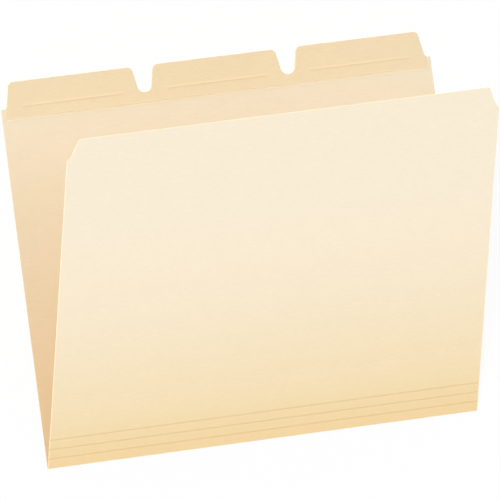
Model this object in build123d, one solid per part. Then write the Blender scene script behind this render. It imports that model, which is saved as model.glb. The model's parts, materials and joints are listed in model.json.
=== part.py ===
from build123d import *
import os
from math import atan, pi, tan

# A letter-size manila folder with three double-ply tabs, lying open on its back leaf. Sizes are in mm.
# The card is first laid out flat, inner face up, with the bottom fold along X at y = 0: the back leaf
# runs towards +Y and the front leaf towards -Y. The front half is then turned up about the fold.

# Stock
card_thickness = 0.36          # 14 point card
glue_thickness = 0.05          # dried adhesive film

# Back leaf and tabs, heights measured from the fold
folder_width = 298.45          # 11 3/4 in
shoulder_height = 224.7        # top edge of the leaf beside the tabs
shoulder_length = 3.9          # from the side edge to the root of the nearest tab
shoulder_corner_radius = 0.8
shoulder_fillet = 2.5
tab_height = 16.6              # above the shoulders
tab_side_slope = 0.2           # how far a tab's side leans in for each mm of height
tab_corner_radius = 3.8
notch_width = 8.2              # between two tabs, at shoulder height

# Front leaf with a stepped cut at each top corner
front_height = 221.4
front_step_height = 13.1
front_step_in = 2.0            # from the side edge to the root of the step
front_step_lean = 5.6          # further in at the top edge
front_step_fillet = 1.2
front_corner_radius = 2.5

# Tab strip, glued inside the back leaf
strip_overlap = 6.35           # below the shoulders
strip_end_inset = 3.2          # short of the side edges
glue_margin = 1.5

# Fold and creases
opening_angle = 25.5           # degrees between the leaves
fold_inner_radius = 0.14
fold_clearance = 0.05
gusset_pitch = 6.35            # between the score lines of the expanding bottom
tab_crease_rise = 1.0          # tab crease above the shoulders
tab_crease_length = 70.0
crease_gap = 0.04
crease_clearance = 0.05

# Worked out from the sizes above
tab_names = ["left_tab", "centre_tab", "right_tab"]
gusset_names = ["lower_gusset", "middle_gusset", "upper_gusset"]
half_width = folder_width / 2
tab_pitch = folder_width / len(tab_names)
tab_top = shoulder_height + tab_height
tab_lean = tab_height * tab_side_slope
tab_crease_y = shoulder_height + tab_crease_rise
strip_bottom = shoulder_height - strip_overlap
strip_back_z = card_thickness + glue_thickness
strip_front_z = strip_back_z + card_thickness
fold_radius = card_thickness + fold_inner_radius
bead_radius = card_thickness / 2 - crease_clearance
groove_side = card_thickness / 3
# the two fillets at the bottom of a notch meet in a full round, all but a sliver of flat
notch_turn = pi / 2 - atan(tab_side_slope)
notch_fillet = 0.49 * notch_width / tan(notch_turn / 2)


def die_cut(points, radii):
    """A flat ply of card with the given corners, its outer face at z = 0."""
    outline = FilletPolyline(*points, radius=radii, close=True)
    return extrude(make_face(outline), amount=card_thickness, dir=(0, 0, 1))


def band(start, end, width=2 * folder_width):
    """Room between two distances from the fold, to cut panels out of a ply."""
    return Pos(0, (start + end) / 2, 0) * Box(width, end - start, folder_width)


def rod(radius, length, y, z, x=0):
    """A round bar along X."""
    return Pos(x, y, z) * Rot(0, 90, 0) * Cylinder(radius, length)


def groove(length, y, x=0):
    """A square bar on its corner, which cuts the creasing rule's groove into the outer face."""
    return Pos(x, y - crease_gap / 2, 0) * Rot(45, 0, 0) * Box(length, groove_side, groove_side)


def glue_patch(left, right, low, high):
    centre = Pos((left + right) / 2, (low + high) / 2, card_thickness + glue_thickness / 2)
    return centre * Box(right - left, high - low, glue_thickness)


def tab_left(index):
    """X of a tab's left root: beside a shoulder on the first tab, beside a notch on the others."""
    inset = notch_width / 2 if index else shoulder_length
    return index * tab_pitch - half_width + inset


def tab_right(index):
    return -tab_left(len(tab_names) - 1 - index)


def back_ply():
    """Back leaf and tabs in one outline, as the die cuts them."""
    points = [(-half_width, 0), (-half_width, shoulder_height)]
    for index in range(len(tab_names)):
        points.append((tab_left(index), shoulder_height))
        points.append((tab_left(index) + tab_lean, tab_top))
        points.append((tab_right(index) - tab_lean, tab_top))
        points.append((tab_right(index), shoulder_height))
    points += [(half_width, shoulder_height), (half_width, 0)]
    between_tabs = [tab_corner_radius, tab_corner_radius, notch_fillet, notch_fillet]
    tab_radii = between_tabs * (len(tab_names) - 1) + [tab_corner_radius, tab_corner_radius]
    radii = [0, shoulder_corner_radius, shoulder_fillet, *tab_radii]
    radii += [shoulder_fillet, shoulder_corner_radius, 0]
    return die_cut(points, radii)


def front_ply():
    """Front leaf and gusset strips in one outline, with the stepped corners."""
    step_y = front_step_height - front_height
    step_x = half_width - front_step_in
    top_x = step_x - front_step_lean
    left = [(-half_width, 0), (-half_width, step_y), (-step_x, step_y), (-top_x, -front_height)]
    right = [(-x, y) for x, y in reversed(left)]
    radii = [0, shoulder_corner_radius, front_step_fillet, front_corner_radius]
    return die_cut(left + right, radii + radii[::-1])


def fold_seat():
    """Room for the round of the bottom fold, cut from the two panels that meet it."""
    return rod(fold_radius + fold_clearance, 2 * folder_width, 0, fold_radius)


def back_parts():
    """Back leaf, tab strip and tabs, parted along the tab creases."""
    sheet = back_ply()
    strip = Pos(0, 0, strip_back_z) * sheet & band(strip_bottom, 2 * tab_top, folder_width - 2 * strip_end_inset)
    below = band(-tab_top, tab_crease_y - crease_gap)
    above = band(tab_crease_y, 2 * tab_top)
    leaf = (sheet & below) - fold_seat()
    lower_strip = strip & below
    tabs = (sheet & above).solids().sort_by(Axis.X)
    facings = (strip & above).solids().sort_by(Axis.X)
    parts = {}
    for index, name in enumerate(tab_names):
        left = tab_left(index)
        right = tab_right(index)
        middle = (left + right) / 2
        crease_groove = groove(tab_crease_length, tab_crease_y, middle)
        leaf -= crease_groove
        seat_length = tab_crease_length + 2 * crease_clearance
        lower_strip -= rod(bead_radius + crease_clearance, seat_length, tab_crease_y, strip_front_z, middle)
        bead = rod(bead_radius, tab_crease_length, tab_crease_y, strip_front_z, middle)
        flat = tab_lean + tab_corner_radius
        parts[name] = tabs[index] - crease_groove
        parts[name + "_facing"] = facings[index] + bead
        parts[name + "_glue"] = glue_patch(
            left + flat, right - flat, tab_crease_y + glue_margin, tab_top - glue_margin
        )
    strip_end = half_width - strip_end_inset - glue_margin
    parts["back_leaf"] = leaf
    parts["tab_strip"] = lower_strip
    parts["strip_glue"] = glue_patch(
        -strip_end, strip_end, strip_bottom + glue_margin, shoulder_height - glue_margin
    )
    return parts


def front_parts():
    """Gusset strips and front leaf. Each strip carries the bead that the next panel turns on."""
    sheet = front_ply()
    parts = {}
    for index, name in enumerate(gusset_names + ["front_leaf"]):
        near_crease = index * gusset_pitch
        far_crease = near_crease + gusset_pitch
        if name in gusset_names:
            panel = sheet & band(-far_crease, -near_crease - (crease_gap if index else 0))
            panel += rod(bead_radius, folder_width, -far_crease, card_thickness)
            panel -= groove(2 * folder_width, -far_crease)
        else:
            panel = sheet & band(-2 * front_height, -near_crease - crease_gap)
        if index:
            panel -= rod(bead_radius + crease_clearance, 2 * folder_width, -near_crease, card_thickness)
            panel -= groove(2 * folder_width, -near_crease)
        else:
            panel -= fold_seat()
        parts[name] = panel
    return parts


def folded(panel):
    """Turn a panel of the front half up about the bottom fold, to its angle with the back leaf."""
    fold_axis = Axis((0, 0, fold_radius), (1, 0, 0))
    return panel.rotate(fold_axis, opening_angle - 180)


parts = back_parts()
parts["bottom_fold"] = rod(fold_radius, folder_width, 0, fold_radius)
for name, panel in front_parts().items():
    parts[name] = folded(panel)

# the origin lies under the middle of the folder, on the surface it rests on
centred = Pos(0, (fold_radius - tab_top) / 2, 0)
os.makedirs("parts", exist_ok=True)
for name, shape in parts.items():
    export_step(centred * shape, f"parts/{name}.step")
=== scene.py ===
# A letter-size manila folder, lying open on its back leaf. Sizes in the settings are in mm.
import json
from math import cos, degrees, exp, pi, radians, sin, sqrt
import bmesh
import bpy
from mathutils import Matrix, Vector


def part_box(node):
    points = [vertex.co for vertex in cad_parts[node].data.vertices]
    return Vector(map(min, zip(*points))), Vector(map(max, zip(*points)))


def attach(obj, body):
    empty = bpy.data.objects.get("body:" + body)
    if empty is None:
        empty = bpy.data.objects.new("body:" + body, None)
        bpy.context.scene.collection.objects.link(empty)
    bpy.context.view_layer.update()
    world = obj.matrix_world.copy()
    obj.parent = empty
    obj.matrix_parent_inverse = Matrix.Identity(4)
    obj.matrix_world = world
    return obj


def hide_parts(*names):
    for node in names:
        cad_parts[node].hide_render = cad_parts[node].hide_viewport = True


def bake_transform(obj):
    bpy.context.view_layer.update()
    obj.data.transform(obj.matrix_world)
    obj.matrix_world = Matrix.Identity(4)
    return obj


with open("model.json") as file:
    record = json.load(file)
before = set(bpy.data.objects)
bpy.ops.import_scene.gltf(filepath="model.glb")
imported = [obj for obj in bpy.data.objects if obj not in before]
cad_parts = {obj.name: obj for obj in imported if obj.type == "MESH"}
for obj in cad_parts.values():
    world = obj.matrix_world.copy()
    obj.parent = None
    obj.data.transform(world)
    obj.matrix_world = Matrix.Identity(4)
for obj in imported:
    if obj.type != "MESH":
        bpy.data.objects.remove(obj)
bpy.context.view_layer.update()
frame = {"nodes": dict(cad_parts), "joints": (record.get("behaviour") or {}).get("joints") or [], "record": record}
scene = bpy.context.scene
mm = 0.001

# What the frame says about the folder
joints = {joint["name"]: joint for joint in frame["joints"]}
foldAxis = Vector(joints["cover_fold"]["pos_m"])
openAngle = radians(180 + joints["cover_fold"]["range_deg"][0])  # the low limit is the folder opened flat
foldRadius = foldAxis.z  # outside of the bend, which touches the floor
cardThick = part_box("back_leaf")[1].z
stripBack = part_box("tab_strip")[0].z
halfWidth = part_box("back_leaf")[1].x
frontUp = Vector((0, cos(openAngle), sin(openAngle)))
frontOut = Vector((0, -sin(openAngle), cos(openAngle)))
bendLength = (pi - openAngle) * (foldRadius - cardThick / 2)  # along the middle of the card
tabNames = ["left_tab", "centre_tab", "right_tab"]
print("frame read: leaves", round(degrees(openAngle), 1), "degrees apart,",
      "card", round(cardThick / mm, 2), "mm thick")


# A point of the card is x along the fold, s away from the fold and n deep, counted from the outer face

def backPlace(x, s, n):
    return Vector((x, foldAxis.y + s, n))


def frontPlace(x, s, n):
    if s >= 0:
        return foldAxis + Vector((x, 0, 0)) + frontUp * s + frontOut * (foldRadius - n)
    turn = (pi - openAngle) * (1 + s / bendLength)  # round the bend, from under the axis
    return foldAxis + Vector((x, -sin(turn) * (foldRadius - n), -cos(turn) * (foldRadius - n)))


def backCard(point):
    return Vector((point.x, point.y - foldAxis.y, point.z))


def frontCard(point):
    away = point - foldAxis
    return Vector((point.x, away.dot(frontUp), foldRadius - away.dot(frontOut)))


# Die-cut sheets: outline from the frame, rings beside the cut edge, then rows and columns

dieCut = {
    "rings": [0.04, 0.1, 0.4, 0.75],  # in from the cut edge
    "roundOver": 0.1,  # the die leaves the edge a little soft
    "column": 12.0,
    "row": 12.0,
    "bendRows": 14,  # round the bottom bend
    "spare": 3.0,  # card left beyond the fold, cut off again along the seam
}
# How near is near enough when the outline is read and cut
near = {
    "flat": 0.01,  # a face at its depth
    "weld": 0.09,  # the two sides of a crease gap
    "bottom": 0.05,  # the lowest edge
    "seam": 0.001,
    "snap": 0.00001,
}
# Creases get a painted dark line of shade and a painted pale line of highlight, each given by its distance from
# the crease and its strength, on the outer face (0), the inner face (1) or both. The strip's cut edge has
# painted pale lines alone, on the strip and on the leaf under it: painted light over the shade there
creasing = {
    "score": {"depth": 0.13, "halfBand": 1.1, "line": 0.45, "faces": (0, 1),
              "dark": (0.0, 1.0), "pale": (-0.9, 0.075)},
    "tab": {"length": 70.0, "depth": 0.05, "halfBand": 0.9, "line": 0.45, "faces": (0, 1),
            "dark": (-0.65, 1.0), "pale": (0.8, 0.45)},
    # painted light over the shadow the strip casts on the leaf just below its edge
    "underStrip": {"depth": 0, "halfBand": 0.9, "line": 0.6, "faces": (1,),
                   "dark": (0, 0), "pale": (-0.4, 1.0)},
    # painted light over the shade on the strip's own lower edge
    "stripEdge": {"depth": 0, "halfBand": 0.9, "line": 0.35, "faces": (1,),
                  "dark": (0, 0), "pale": (0.15, 0.8)},
}
creaseWidth = 0.3  # of the pressed channel
creaseRows = 7  # of mesh to each half band
creaseFade = 0.8  # run-out at the ends of a short crease


def cadOutline(nodes, toCard, depth, bottom=None):
    # the flat faces at one depth, welded over the crease gaps and joined into one outline
    flat = bmesh.new()
    for node in nodes:
        flat.from_mesh(frame["nodes"][node].data)
    for v in flat.verts:
        v.co = toCard(v.co)
    others = [f for f in flat.faces if any(abs(v.co.z - depth) > near["flat"] * mm for v in f.verts)]
    bmesh.ops.delete(flat, geom=others, context="FACES")
    bmesh.ops.remove_doubles(flat, verts=flat.verts, dist=near["weld"] * mm)
    outline = bmesh.ops.dissolve_faces(flat, faces=flat.faces[:])["region"][0]
    points = [v.co.xy for v in outline.verts]
    lowest = min(point.y for point in points)
    if bottom is not None:
        for point in points:
            if point.y < lowest + near["bottom"] * mm:
                point.y = bottom
    flat.free()
    return points


def steps(low, high, size):
    count = max(1, round((high - low) / size))
    return [low + (high - low) * k / count for k in range(count + 1)]


def cutSheet(outline, creases, place, back, flatSide):
    # flatSide is 1 where the flat sheet runs to the tabs and -1 where it runs the other way
    bm = bmesh.new()
    edge = bm.verts.layers.float.new("edge")
    face = bm.faces.new([bm.verts.new((p.x, p.y, 0)) for p in outline])
    face.normal_update()
    reached = 0
    for ring in dieCut["rings"]:
        width = (ring - reached) * mm
        bmesh.ops.inset_region(bm, faces=[face], thickness=width, use_boundary=True, use_even_offset=True)
        for v in face.verts:
            v[edge] = ring * mm
        reached = ring
    lowX, highX = min(p.x for p in outline), max(p.x for p in outline)
    lowS, highS = min(p.y for p in outline), max(p.y for p in outline)
    rows = steps(lowS, highS, dieCut["row"] * mm)[1:-1]
    columns = steps(lowX, highX, dieCut["column"] * mm)[1:-1]
    for crease in creases:
        rows = [s for s in rows if abs(s - crease["at"]) > 2 * crease["halfBand"] * mm]
    for crease in creases:
        for k in range(-2 * creaseRows, 2 * creaseRows + 1):
            rows.append(crease["at"] + crease["halfBand"] * mm * k / creaseRows)
        if "left" in crease:
            for off in (0, creaseFade / 2, creaseFade):
                columns += [crease["left"] + off * mm, crease["right"] - off * mm]
    rows.append(0)
    if flatSide < 0:
        bendRows = dieCut["bendRows"]
        rows += [-bendLength * k / bendRows for k in range(1, bendRows + 1)]
    for normal, cuts in (((0, 1, 0), rows), ((1, 0, 0), columns)):
        for cut in sorted(set(cuts)):
            everything = bm.verts[:] + bm.edges[:] + bm.faces[:]
            bmesh.ops.bisect_plane(bm, geom=everything, dist=near["snap"] * mm,
                                   plane_co=Vector(normal) * cut, plane_no=normal)
    return {"bm": bm, "edge": edge, "creases": creases, "place": place, "back": back, "flatSide": flatSide}


def bell(off, width):
    return exp(-((off / width) ** 2))


def creaseAt(sheet, x, s):
    # how far the rule pressed the card, and how much painted shade (above 0) or painted highlight (below 0) each
    # face gets
    pressed, paintedShading = 0, [0, 0]
    for crease in sheet["creases"]:
        ends = 1
        if "left" in crease:
            ends = min(x - crease["left"], crease["right"] - x) / (creaseFade * mm)
            ends = min(1, max(0, ends))
        off = (s - crease["at"]) / mm
        pressed += ends * crease["depth"] * mm * bell(off, creaseWidth)
        for face in crease["faces"]:
            for (line, share), sign in ((crease["dark"], 1), (crease["pale"], -1)):
                paintedShading[face] += sign * ends * share * bell(off - line, crease["line"])
    return pressed, paintedShading


def drawnIn(fromEdge):
    radius = dieCut["roundOver"] * mm
    inside = max(0, radius - fromEdge)
    return radius - sqrt(radius ** 2 - inside ** 2)


def cardPiece(name, sheet, low, high, left=-1, right=1):
    # one panel or crease of a sheet, given its two faces, its cut edges and its ends at the seams
    faces = []
    for f in sheet["bm"].faces:
        middle = f.calc_center_median()
        if low < middle.y < high and left < middle.x < right:
            faces.append(f)
    made = bmesh.new()
    cardAt = made.verts.layers.float_vector.new("card")
    edgeAt = made.verts.layers.float.new("edge")
    paintedShadingAt = made.verts.layers.float.new("paintedShading")
    plies = {}
    for v in dict.fromkeys(v for f in faces for v in f.verts):
        x, s = v.co.xy
        soft = drawnIn(v[sheet["edge"]])
        pressed, paintedShading = creaseAt(sheet, x, s)
        outer = sheet["back"] + pressed
        plies[v] = []
        for face, n in enumerate((outer + soft, outer + cardThick - soft)):
            point = made.verts.new(sheet["place"](x, s, n))
            flatS = s if sheet["flatSide"] > 0 else -s - bendLength
            point[cardAt] = (x, flatS, n)
            point[edgeAt] = v[sheet["edge"]]
            point[paintedShadingAt] = paintedShading[face]
            plies[v].append(point)
    used = set(faces)
    for f in faces:
        made.faces.new([plies[v][0] for v in f.verts])
        made.faces.new([plies[v][1] for v in reversed(f.verts)])
        for e in f.edges:
            if sum(g in used for g in e.link_faces) == 1:
                a, b = e.verts
                made.faces.new((plies[a][0], plies[b][0], plies[b][1], plies[a][1]))
                for seam in (low, high):
                    if all(abs(v.co.y - seam) < near["seam"] * mm for v in e.verts):
                        for side in (0, 1):
                            made.edges.get((plies[a][side], plies[b][side])).smooth = False
    bmesh.ops.recalc_face_normals(made, faces=made.faces[:])
    for f in made.faces:
        f.smooth = True
    mesh = bpy.data.meshes.new(name)
    made.to_mesh(mesh)
    made.free()
    piece = bpy.data.objects.new(name, mesh)
    scene.collection.objects.link(piece)
    return piece


# The three sheets: back half with the tabs, front half with the gusset and bend, and the glued strip

scoreNames = ["lower_score", "middle_score", "upper_score"]
scoreAt = {name: frontCard(Vector(joints[name]["pos_m"])).y for name in scoreNames}
tabCreaseAt = backCard(Vector(joints["left_tab_fold"]["pos_m"])).y
tabCreaseHalf = creasing["tab"]["length"] * mm / 2
tabCreases = []
for tab in tabNames:
    middle = joints[tab + "_fold"]["pos_m"][0]
    ends = {"left": middle - tabCreaseHalf, "right": middle + tabCreaseHalf}
    tabCreases.append({**creasing["tab"], "at": tabCreaseAt, **ends})
scores = [{**creasing["score"], "at": scoreAt[name]} for name in scoreNames]

backOutline = cadOutline(["back_leaf"] + tabNames, backCard, cardThick, bottom=-dieCut["spare"] * mm)
stripLow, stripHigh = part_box("tab_strip")
stripEnds = {"left": stripLow.x, "right": stripHigh.x}
underStrip = {**creasing["underStrip"], "at": backCard(stripLow).y, **stripEnds}
backSheet = cutSheet(backOutline, tabCreases + [underStrip], backPlace, 0, 1)
frontOutline = cadOutline(["front_leaf"], frontCard, 0, bottom=-bendLength - dieCut["spare"] * mm)
frontSheet = cutSheet(frontOutline, scores, frontPlace, 0, -1)
stripOutline = cadOutline(["tab_strip"] + [tab + "_facing" for tab in tabNames], backCard, stripBack)
stripEdge = {**creasing["stripEdge"], "at": backCard(stripLow).y}
stripSheet = cutSheet(stripOutline, tabCreases + [stripEdge], backPlace, stripBack, 1)
print("sheets cut:", [len(sheet["bm"].faces) for sheet in (backSheet, frontSheet, stripSheet)], "faces")

tabBand = creasing["tab"]["halfBand"] * mm
scoreBand = creasing["score"]["halfBand"] * mm
farEnd = 1.0  # past the end of any sheet
manilaPieces = []
stripPieces = []


def panel(pieces, name, sheet, low, high, node, slot, **sides):
    piece = cardPiece(name, sheet, low, high, **sides)
    body = next(b for b, nodes in frame["record"]["behaviour"]["bodies"].items() if node in nodes)
    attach(piece, body)
    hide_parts(node)
    pieces.append(piece)


def livingCrease(pieces, name, sheet, at, band, before, after, slot, **sides):
    piece = cardPiece(name, sheet, at - band, at + band, **sides)
    start, end = [sheet["place"](0, s, sheet["back"]) for s in (at - band, at + band)]
    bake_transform(piece)
    pieces.append(piece)


belowCrease, aboveCrease = tabCreaseAt - tabBand, tabCreaseAt + tabBand
panel(manilaPieces, "back_leaf_card", backSheet, 0, belowCrease, "back_leaf", "manila_card")
panel(stripPieces, "tab_strip_card", stripSheet, 0, belowCrease, "tab_strip", "tab_strip_card")
tabCount = len(tabNames)
for index, tab in enumerate(tabNames):
    left, right = [halfWidth * (2 * k / tabCount - 1) for k in (index, index + 1)]
    sides = {"left": left, "right": right}
    panel(manilaPieces, tab + "_card", backSheet, aboveCrease, farEnd, tab, "manila_card", **sides)
    panel(stripPieces, tab + "_facing_card", stripSheet, aboveCrease, farEnd, tab + "_facing",
          "tab_strip_card", **sides)
    livingCrease(manilaPieces, tab + "_crease", backSheet, tabCreaseAt, tabBand, "back_leaf", tab,
                 "manila_card", **sides)
    livingCrease(stripPieces, tab + "_facing_crease", stripSheet, tabCreaseAt, tabBand, "back_leaf", tab,
                 "tab_strip_card", **sides)

chain = ["lower_gusset", "middle_gusset", "upper_gusset", "front_leaf"]
seams = [0] + [scoreAt[name] for name in scoreNames] + [farEnd]
for index, node in enumerate(chain):
    low = seams[index] + (scoreBand if index else 0)
    panel(manilaPieces, node + "_card", frontSheet, low, seams[index + 1] - scoreBand, node, "manila_card")
    if index:
        name = scoreNames[index - 1]
        livingCrease(manilaPieces, name + "_crease", frontSheet, scoreAt[name], scoreBand,
                     chain[index - 1], node, "manila_card")
bend = cardPiece("bottom_fold_card", frontSheet, -bendLength, 0)
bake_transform(bend)
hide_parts("bottom_fold")
manilaPieces.append(bend)
print("pieces made:", len(manilaPieces), "of manila card,", len(stripPieces), "of strip card")


# Materials. In a Mix node socket 0 is the share, 6 and 7 are the colours, and output 2 is the result

def linear(hexColour):
    channels = [int(hexColour[k:k + 2], 16) / 255 for k in (1, 3, 5)]
    return [c / 12.92 if c <= 0.04045 else ((c + 0.055) / 1.055) ** 2.4 for c in channels] + [1]


def put(tree, kind, settings=None, inputs=None):
    node = tree.nodes.new("ShaderNode" + kind)
    for name, value in (settings or {}).items():
        setattr(node, name, value)
    for socket, value in (inputs or {}).items():
        if isinstance(value, bpy.types.NodeSocket):
            tree.links.new(value, node.inputs[socket])
        else:
            node.inputs[socket].default_value = value
    return node


def newMaterial(name):
    material = bpy.data.materials.new(name)
    material.use_nodes = True
    material.node_tree.nodes.clear()
    return material, material.node_tree


# Manila card stock: unbleached pulp pressed smooth between rollers, so it is matte, with clouds and blond
# fibres in it. The tones run from the fold to the tabs, darker and deeper toward the fold as painted shade
manilaCard = {
    "name": "manila card stock",
    "outside": [(0, "#D8BD8D"), (30, "#D9C59F"), (75, "#DBCBAE"), (130, "#DDD0B9"), (242, "#DCD1BC")],
    "inside": [(0, "#CEB68F"), (60, "#D1B996"), (120, "#D1BEA0"), (180, "#D7C6AB"), (242, "#DDD1B9")],
    "between": (0.4, 0.6),  # share of the thickness where the cut edge passes from one tone to the other
    "cloudSize": 16, "cloud": 0.03,
    "fibreLength": 5.0, "fibreWidth": 0.7, "fibre": 0.03,  # real ones are finer: drawn coarse to show
    "fibreTurn": 8, "thread": (0.42, 0.66),  # degrees off the fold, and where the noise becomes a fibre
    # a pale band along the cut edges of the front half: painted highlight
    "edgeHighlightBand": 0.75, "edgeHighlightTone": "#F0D9B2", "edge": 0.45,
    # painted shade and painted highlight beside the creases
    "paintedShadeTone": "#EFEBE3", "paintedShading": 0.85, "paleTone": "#F8E8C6", "pale": 0.6,
    "roughness": (0.74, 0.86),
    "tooth": 0.6, "toothDepth": 0.012,  # the tooth is drawn about three times too coarse
}
# Tab strip card: a warmer second stock, pressed in the same way, so an even and slightly darker matte
stripCard = {
    **manilaCard,
    "name": "tab strip card",
    "outside": [(0, "#D9C6A4"), (242, "#D9C6A4")],
    "inside": [(0, "#D9C6A4"), (242, "#D9C6A4")],
    # painted shade and painted highlight beside the creases
    "paintedShadeTone": "#F8EBE3", "paintedShading": 0.47, "paleTone": "#F2DFBC", "pale": 0.3,
}


def cardStock(look):
    material, tree = newMaterial(look["name"])
    card = put(tree, "Attribute", {"attribute_name": "card"}).outputs["Vector"]
    apart = put(tree, "SeparateXYZ", inputs={0: card})
    fromFold = put(tree, "Math", {"operation": "ABSOLUTE"}, {0: apart.outputs["Y"]}).outputs[0]
    faces = []
    # the tone ramps are darker toward the fold: painted shade
    for side in ("outside", "inside"):
        tones = look[side]
        reach = tones[-1][0]
        share = put(tree, "MapRange", inputs={"Value": fromFold, "From Max": reach * mm}).outputs[0]
        ramp = put(tree, "ValToRGB", inputs={"Fac": share})
        ramp.color_ramp.interpolation = "CARDINAL"
        stops = ramp.color_ramp.elements
        while len(stops) < len(tones):
            stops.new(0.5)
        for stop, (distance, tone) in zip(stops, tones):
            stop.position = distance / reach
            stop.color = linear(tone)
        faces.append(ramp.outputs["Color"])
    depth = put(tree, "MapRange", inputs={
        "Value": apart.outputs["Z"], "From Min": cardThick * look["between"][0],
        "From Max": cardThick * look["between"][1]}).outputs[0]
    bothFaces = put(tree, "Mix", {"data_type": "RGBA"}, {0: depth, 6: faces[0], 7: faces[1]})
    cloudScale = 1 / (look["cloudSize"] * mm)
    cloud = put(tree, "TexNoise", inputs={"Vector": card, "Scale": cloudScale, "Detail": 3.0})
    clouded = put(tree, "Mix", {"data_type": "RGBA", "blend_type": "MULTIPLY"},
                  {0: look["cloud"], 6: bothFaces.outputs[2], 7: cloud.outputs["Fac"]})
    along, across = 1 / (look["fibreLength"] * mm), 1 / (look["fibreWidth"] * mm)
    laid = put(tree, "Mapping", inputs={
        "Vector": card, "Rotation": (0, 0, radians(look["fibreTurn"])), "Scale": (along, across, across)})
    fibre = put(tree, "TexNoise", inputs={
        "Vector": laid.outputs[0], "Scale": 1.0, "Detail": 2.0, "Distortion": 0.8})
    thread = put(tree, "MapRange", inputs={
        "Value": fibre.outputs["Fac"], "From Min": look["thread"][0], "From Max": look["thread"][1]})
    fibred = put(tree, "Mix", {"data_type": "RGBA", "blend_type": "MULTIPLY"},
                 {0: look["fibre"], 6: clouded.outputs[2], 7: thread.outputs[0]})
    # painted shade and painted highlight of the creases, and painted light over the strip's shadow
    paintedShading = put(tree, "Attribute", {"attribute_name": "paintedShading"}).outputs["Fac"]
    dark = put(tree, "MapRange", inputs={"Value": paintedShading, "To Max": look["paintedShading"]}).outputs[0]
    pale = put(tree, "MapRange", inputs={
        "Value": paintedShading, "From Max": -1.0, "To Max": look["pale"]}).outputs[0]
    withPaintedShade = put(tree, "Mix", {"data_type": "RGBA", "blend_type": "MULTIPLY"},
                  {0: dark, 6: fibred.outputs[2], 7: linear(look["paintedShadeTone"])})
    creased = put(tree, "Mix", {"data_type": "RGBA"},
                  {0: pale, 6: withPaintedShade.outputs[2], 7: linear(look["paleTone"])})
    edge = put(tree, "Attribute", {"attribute_name": "edge"}).outputs["Fac"]
    paintedRimHighlight = put(tree, "MapRange", inputs={
        "Value": edge, "From Max": look["edgeHighlightBand"] * mm, "To Min": look["edge"], "To Max": 0.0}).outputs[0]
    # a pale band along the cut edges, a painted highlight, on the front half alone
    onFront = put(tree, "Math", {"operation": "LESS_THAN"}, {0: apart.outputs["Y"], 1: 0.0}).outputs[0]
    edgeHighlightShown = put(tree, "Math", {"operation": "MULTIPLY"}, {0: paintedRimHighlight, 1: onFront}).outputs[0]
    edgeHighlighted = put(tree, "Mix", {"data_type": "RGBA"},
                {0: edgeHighlightShown, 6: creased.outputs[2], 7: linear(look["edgeHighlightTone"])})
    toothScale = 1 / (look["tooth"] * mm)
    tooth = put(tree, "TexNoise", inputs={"Vector": card, "Scale": toothScale, "Detail": 3.0})
    rough = put(tree, "MapRange", inputs={
        "Value": tooth.outputs["Fac"], "To Min": look["roughness"][0], "To Max": look["roughness"][1]})
    bump = put(tree, "Bump", inputs={
        "Strength": 0.5, "Distance": look["toothDepth"] * mm, "Height": tooth.outputs["Fac"]})
    surface = put(tree, "BsdfPrincipled", inputs={
        "Base Color": edgeHighlighted.outputs[2], "Roughness": rough.outputs[0], "Normal": bump.outputs[0],
        "IOR": 1.47, "Specular IOR Level": 0.3})
    put(tree, "OutputMaterial", inputs={"Surface": surface.outputs[0]})
    return material


# Dried glue: white glue rolled on thin, so a pale film with faint streaks and a soft gloss
driedGlue = {
    "name": "dried white glue",
    "film": "#E9DFC8", "streak": "#DCCFB2",
    "streakLength": 20, "streakWidth": 1.5, "streakRise": 1.0, "streakDepth": 0.01,
    "roughness": 0.45,
}


def gluePaint(look):
    material, tree = newMaterial(look["name"])
    place = put(tree, "TexCoord").outputs["Object"]
    stretch = [1 / (look[size] * mm) for size in ("streakLength", "streakWidth", "streakRise")]
    laid = put(tree, "Mapping", inputs={"Vector": place, "Scale": stretch})
    streak = put(tree, "TexNoise", inputs={"Vector": laid.outputs[0], "Scale": 1.0, "Detail": 3.0})
    tone = put(tree, "Mix", {"data_type": "RGBA"},
               {0: streak.outputs["Fac"], 6: linear(look["film"]), 7: linear(look["streak"])})
    bump = put(tree, "Bump", inputs={
        "Strength": 0.3, "Distance": look["streakDepth"] * mm, "Height": streak.outputs["Fac"]})
    surface = put(tree, "BsdfPrincipled", inputs={
        "Base Color": tone.outputs[2], "Normal": bump.outputs[0],
        "Roughness": look["roughness"], "IOR": 1.46})
    put(tree, "OutputMaterial", inputs={"Surface": surface.outputs[0]})
    return material


def dress(pieces, material):
    for piece in pieces:
        piece.data.materials.clear()
        piece.data.materials.append(material)


dress(manilaPieces, cardStock(manilaCard))
dress(stripPieces, cardStock(stripCard))
dress([frame["nodes"][name] for name in frame["nodes"] if name.endswith("_glue")], gluePaint(driedGlue))
print("materials on")


# Studio: a floor that glows white, white walls that are brighter on the tabs' side, and one large soft lamp
# high on the left. Distances here are in m, apart from the gap under the folder

studio = {
    "floor": "#404040", "glow": 0.93,  # dark paint under the glow takes only a faint shadow
    "floorSize": 60.0, "gap": 0.05,
    "ground": 1.0, "walls": (3.5, 5.5), "ceiling": 0.3,  # brightness, the walls' from the fold to the tabs
    "horizon": 0.02, "wallTop": (0.1, 0.6),  # steepness of a look at which one passes into the next
}
lamps = {
    "key lamp": {"from": (-0.57, 0.1, 0.82), "distance": 20.0, "size": 3.0, "power": 2300.0},
}
camera = {
    "target": (0.0078889, -0.0020508, 0),
    "right": (0.90055234, -0.13019042, 0.41479626),
    "up": (0.11787546, 0.99148861, 0.05527846),
    "distance": 10.1409,
    "lens": 1165.62,
    "clip": (1.0, 100.0),
}

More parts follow.
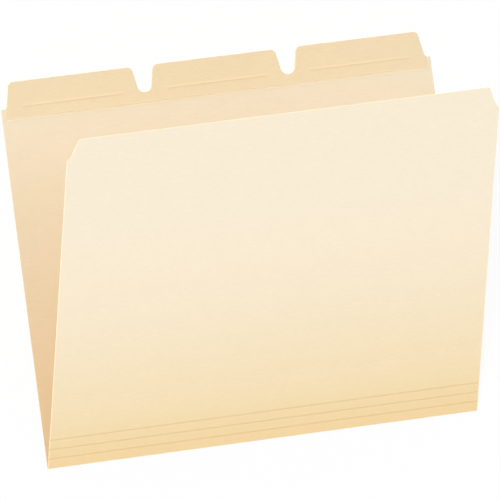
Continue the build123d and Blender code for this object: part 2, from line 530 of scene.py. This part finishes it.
floorMesh = bpy.data.meshes.new("floor")
far, under = studio["floorSize"] / 2, -studio["gap"] * mm
corners = [(-far, -far, under), (far, -far, under), (far, far, under), (-far, far, under)]
floorMesh.from_pydata(corners, [], [(0, 1, 2, 3)])
floor = bpy.data.objects.new("floor", floorMesh)
scene.collection.objects.link(floor)
paint, tree = newMaterial("matt white studio paint")
white = put(tree, "BsdfPrincipled", inputs={
    "Base Color": linear(studio["floor"]), "Roughness": 0.9, "Specular IOR Level": 0.0,
    "Emission Color": linear("#FFFFFF"), "Emission Strength": studio["glow"]})
put(tree, "OutputMaterial", inputs={"Surface": white.outputs[0]})
floorMesh.materials.append(paint)

world = bpy.data.worlds.new("white surroundings")
world.use_nodes = True
world.node_tree.nodes.clear()
tree = world.node_tree
facing = put(tree, "SeparateXYZ", inputs={0: put(tree, "TexCoord").outputs["Generated"]})
walls = put(tree, "MapRange", inputs={
    "Value": facing.outputs["Y"], "From Min": -1.0, "From Max": 1.0,
    "To Min": studio["walls"][0], "To Max": studio["walls"][1]}).outputs[0]
above = put(tree, "MapRange", inputs={
    "Value": facing.outputs["Z"], "From Min": studio["wallTop"][0], "From Max": studio["wallTop"][1],
    "To Min": walls, "To Max": studio["ceiling"]}).outputs[0]
brightness = put(tree, "MapRange", inputs={
    "Value": facing.outputs["Z"], "From Min": -studio["horizon"], "From Max": studio["horizon"],
    "To Min": studio["ground"], "To Max": above}).outputs[0]
around = put(tree, "Background", inputs={"Color": linear("#FFFFFF"), "Strength": brightness})
put(tree, "OutputWorld", inputs={"Surface": around.outputs[0]})
scene.world = world

for name, lamp in lamps.items():
    lampData = bpy.data.lights.new(name, "AREA")
    lampData.size = lamp["size"]
    lampData.energy = lamp["power"]
    lampObject = bpy.data.objects.new(name, lampData)
    lampObject.location = Vector(lamp["from"]).normalized() * lamp["distance"]
    lampObject.rotation_euler = (-lampObject.location).to_track_quat("-Z", "Y").to_euler()
    scene.collection.objects.link(lampObject)

right, up = Vector(camera["right"]), Vector(camera["up"])
towards = right.cross(up).normalized()
cameraData = bpy.data.cameras.new("camera")
cameraData.lens = camera["lens"]
cameraData.clip_start, cameraData.clip_end = camera["clip"]
cameraObject = bpy.data.objects.new("camera", cameraData)
turned = Matrix((right, up, towards)).transposed().to_4x4()
stand = Vector(camera["target"]) + towards * camera["distance"]
cameraObject.matrix_world = Matrix.Translation(stand) @ turned
scene.collection.objects.link(cameraObject)
scene.camera = cameraObject
scene.view_settings.view_transform = "Standard"
print("studio set")
